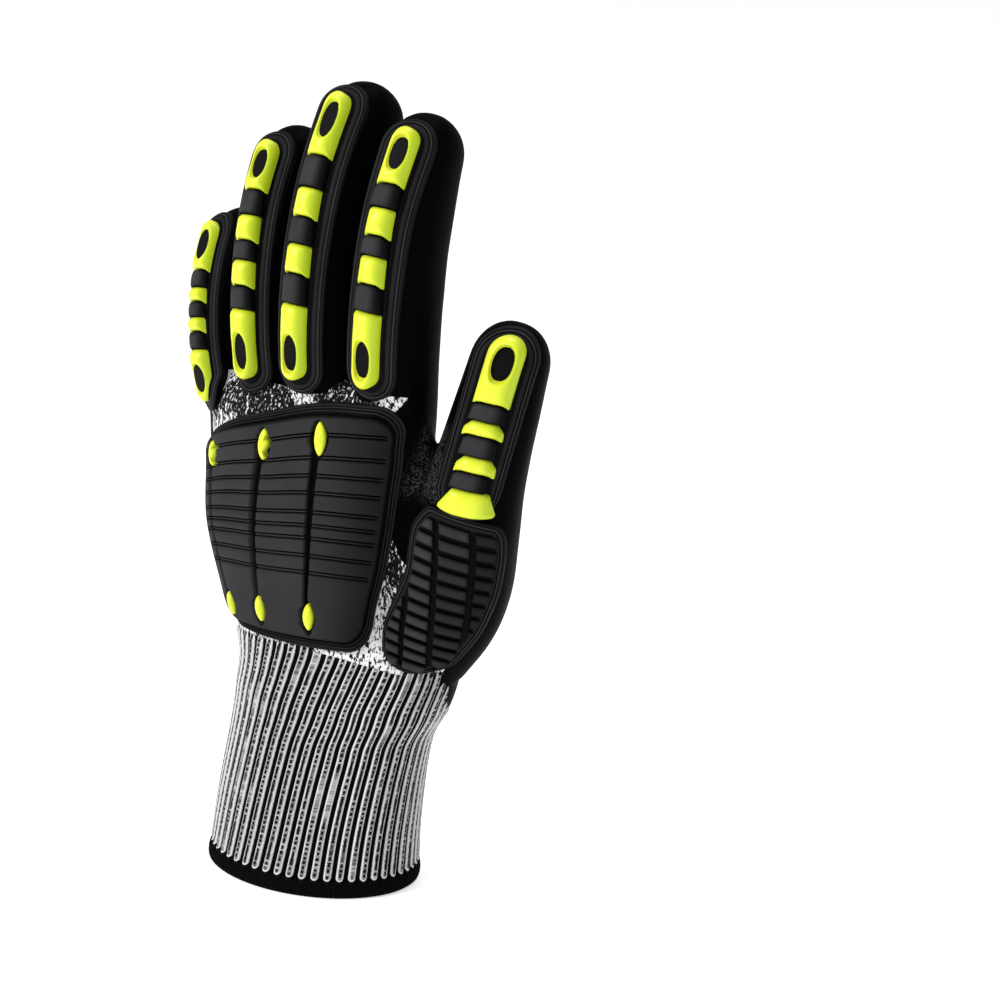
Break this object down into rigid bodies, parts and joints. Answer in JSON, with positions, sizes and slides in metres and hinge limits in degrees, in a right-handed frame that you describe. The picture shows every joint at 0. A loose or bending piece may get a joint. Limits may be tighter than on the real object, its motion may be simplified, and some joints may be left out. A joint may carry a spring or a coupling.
{
  "type": "impact work glove, left hand",
  "caption": "Left work glove with a dipped palm, ribbed knit cuff, hollow fingers and raised rubber guards with bright inserts along the fingers, the thumb and the back of the hand.",
  "frame": {"origin": "centre of the bounding box in X and Y, at the bottom of the hem, where the glove stands", "axes": "+Z from the hem to the fingertips, +X towards the thumb, +Y from the back of the hand to the palm"},
  "size_m": [0.1324, 0.0668, 0.2568],
  "materials": {
    "knit": "pale grey knit with dark flecks",
    "hem": "black overlocked edge",
    "coating": "black dipped coating, finely crinkled",
    "guard": "matte black moulded rubber",
    "lime": "smooth bright yellow-green moulded rubber"
  },
  "bodies": {
    "root": {"hem": "hem", "knit_cuff": "knit", "knit_back": "knit", "coated_palm": "coating", "coated_little": "coating", "coated_ring": "coating", "coated_middle": "coating", "coated_index": "coating", "coated_thumb": "coating", "back_pad": "guard", "lens_little_bottom": "lime", "lens_little_top": "lime", "lens_middle_bottom": "lime", "lens_middle_top": "lime", "lens_index_bottom": "lime", "lens_index_top": "lime", "guard_index": "guard", "guard_middle": "guard", "guard_ring": "guard", "guard_little": "guard", "guard_thumb": "guard", "insert_index_knuckle": "lime", "insert_index_lower": "lime", "insert_index_upper": "lime", "insert_index_tip": "lime", "insert_middle_knuckle": "lime", "insert_middle_lower": "lime", "insert_middle_upper": "lime", "insert_middle_tip": "lime", "insert_ring_knuckle": "lime", "insert_ring_lower": "lime", "insert_ring_upper": "lime", "insert_ring_tip": "lime", "insert_little_knuckle": "lime", "insert_little_lower": "lime", "insert_little_upper": "lime", "insert_little_tip": "lime", "insert_thumb_fan": "lime", "insert_thumb_lower": "lime", "insert_thumb_upper": "lime", "insert_thumb_tip": "lime"}
  },
  "joints": []
}
